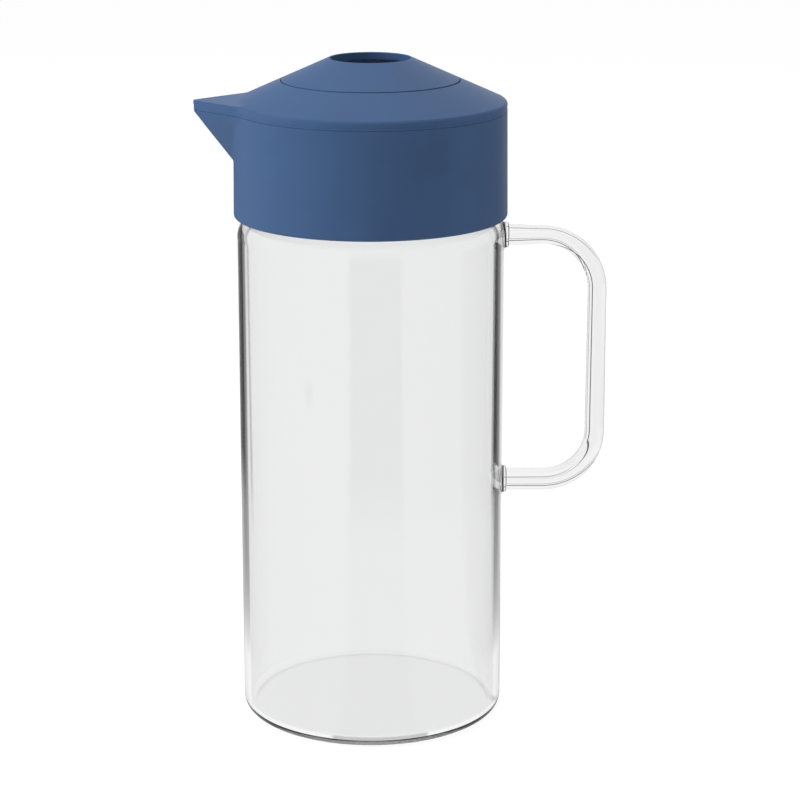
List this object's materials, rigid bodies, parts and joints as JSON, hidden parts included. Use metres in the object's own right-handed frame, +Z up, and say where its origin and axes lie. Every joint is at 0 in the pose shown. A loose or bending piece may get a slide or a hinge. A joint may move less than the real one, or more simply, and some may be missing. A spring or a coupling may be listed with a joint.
{
  "type": "serving jug",
  "caption": "Straight glass serving jug with a fused glass rod handle and a deep plastic lid that has a beak spout, a conical cover and a round cap with a filling hole.",
  "frame": {"origin": "centre of the flat underside, on the axis of the glass cylinder", "axes": "+Z up along the cylinder's axis, -X towards the beak spout, +X towards the handle"},
  "size_m": [0.1581, 0.1044, 0.2576],
  "materials": {
    "clear_glass": "clear, fire polished borosilicate glass",
    "blue_plastic": "fine matte moulded polypropylene, dusty blue",
    "grey_silicone": "satin silicone"
  },
  "bodies": {
    "jug": {"glass_body": "clear_glass", "glass_handle": "clear_glass", "upper_handle_weld": "clear_glass", "lower_handle_weld": "clear_glass"},
    "neck_ring": {"neck_seal": "grey_silicone"},
    "collar": {"lid_collar": "blue_plastic", "seam_gasket": "grey_silicone"},
    "cover": {"lid_cover": "blue_plastic"},
    "cap_ring": {"cap_seal": "grey_silicone"},
    "cap": {"centre_cap": "blue_plastic"}
  },
  "joints": [
    {"name": "lid_lift", "type": "slide", "parent": "jug", "child": "neck_ring", "axis": [0, 0, 1], "range_m": [0, 0.06]},
    {"name": "lid_turn", "type": "hinge", "parent": "neck_ring", "child": "collar", "pos_m": [0, 0, 0.2154], "axis": [0, 0, 1], "continuous": true},
    {"name": "cover_lift", "type": "slide", "parent": "collar", "child": "cover", "axis": [0, 0, 1], "range_m": [0, 0.04]},
    {"name": "cap_lift", "type": "slide", "parent": "cover", "child": "cap_ring", "axis": [0, 0, 1], "range_m": [0, 0.03]},
    {"name": "cap_turn", "type": "hinge", "parent": "cap_ring", "child": "cap", "pos_m": [0, 0, 0.2475], "axis": [0, 0, 1], "continuous": true}
  ]
}
